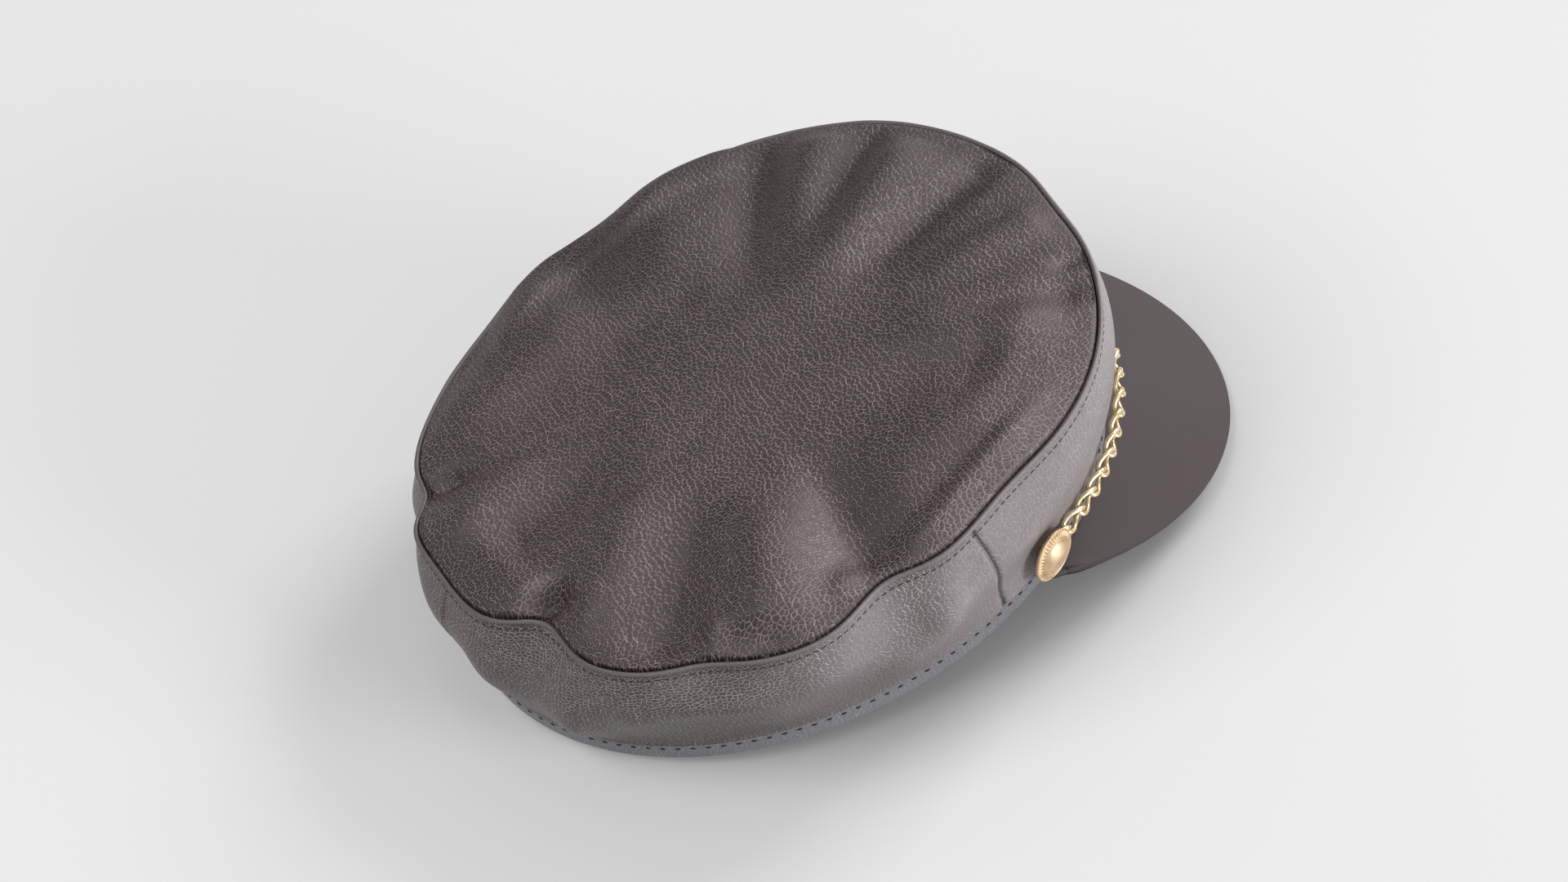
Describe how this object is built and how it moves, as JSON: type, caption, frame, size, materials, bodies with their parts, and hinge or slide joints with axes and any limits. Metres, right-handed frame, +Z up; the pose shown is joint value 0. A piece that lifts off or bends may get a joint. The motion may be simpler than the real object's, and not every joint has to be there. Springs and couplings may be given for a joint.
{
  "type": "peaked mariner cap",
  "caption": "Soft leather peaked cap with a round puckered crown, a banded head opening, a stiff curved visor, and a chain held over the visor by turning buttons.",
  "frame": {"origin": "centre of the bounding box's bottom face, on the surface that the cap stands on", "axes": "+Z up with the cap laid down on its visor's lower edge and the back of its band; +Y towards the back of the cap, so the visor points to -Y; +X to the wearer's left"},
  "size_m": [0.1837, 0.2664, 0.0955],
  "materials": {
    "crown_leather": "pebbled grain, satin, grey-brown",
    "panel_leather": "fine pebbled grain, satin, grey-brown",
    "roll_leather": "fine grain, satin, grey-brown",
    "band_leather": "fine grain, satin, blue-grey",
    "visor_leather": "smooth fine grain, satin, brown-grey",
    "visor_under_leather": "smooth, satin, dark brown-grey",
    "sweatband_leather": "smooth, satin, dark brown",
    "lining": "plain weave lining, dark",
    "foam": "felted interlining",
    "tape": "woven tape",
    "thread": "twisted polyester thread, dark",
    "board": "pressed fibre and plastic board",
    "gold_chain": "polished pale gold plate",
    "gold_button": "satin pale gold plate",
    "steel": "satin"
  },
  "bodies": {
    "cap": {"crown_top": "crown_leather", "crown_interlining": "foam", "crown_top_lining": "lining", "front_panel": "panel_leather", "side_panel_right": "panel_leather", "side_panel_left": "panel_leather", "crown_seam_roll": "roll_leather", "crown_topstitching": "thread", "front_stiffener": "board", "side_lining": "lining", "band": "band_leather", "band_stiffener": "board", "band_stitching": "thread", "sweatband": "sweatband_leather", "sweatband_joint_tape": "tape", "visor_top": "visor_leather", "visor_board": "board", "visor_under": "visor_under_leather", "button_washer_right": "steel", "button_washer_left": "steel"},
    "button_right": {"button_cap_right": "gold_button", "button_base_right": "gold_button", "button_retainer_right": "steel"},
    "button_left": {"button_cap_left": "gold_button", "button_base_left": "gold_button", "button_retainer_left": "steel"},
    "chain": {"chain_links": "gold_chain", "chain_end_loop_right": "gold_chain", "chain_end_loop_left": "gold_chain"}
  },
  "joints": [
    {"name": "button_right_turn", "type": "hinge", "parent": "cap", "child": "button_right", "pos_m": [-0.07753, -0.02795, 0.03931], "axis": [-0.9182, -0.3904, 0.0671], "continuous": true},
    {"name": "button_left_turn", "type": "hinge", "parent": "cap", "child": "button_left", "pos_m": [0.07782, -0.02795, 0.03931], "axis": [0.9182, -0.3904, 0.0671], "continuous": true},
    {"name": "chain_swing", "type": "hinge", "parent": "cap", "child": "chain", "pos_m": [0.00014, -0.02795, 0.03931], "axis": [-1, 0, 0], "range_deg": [0, 5]}
  ]
}
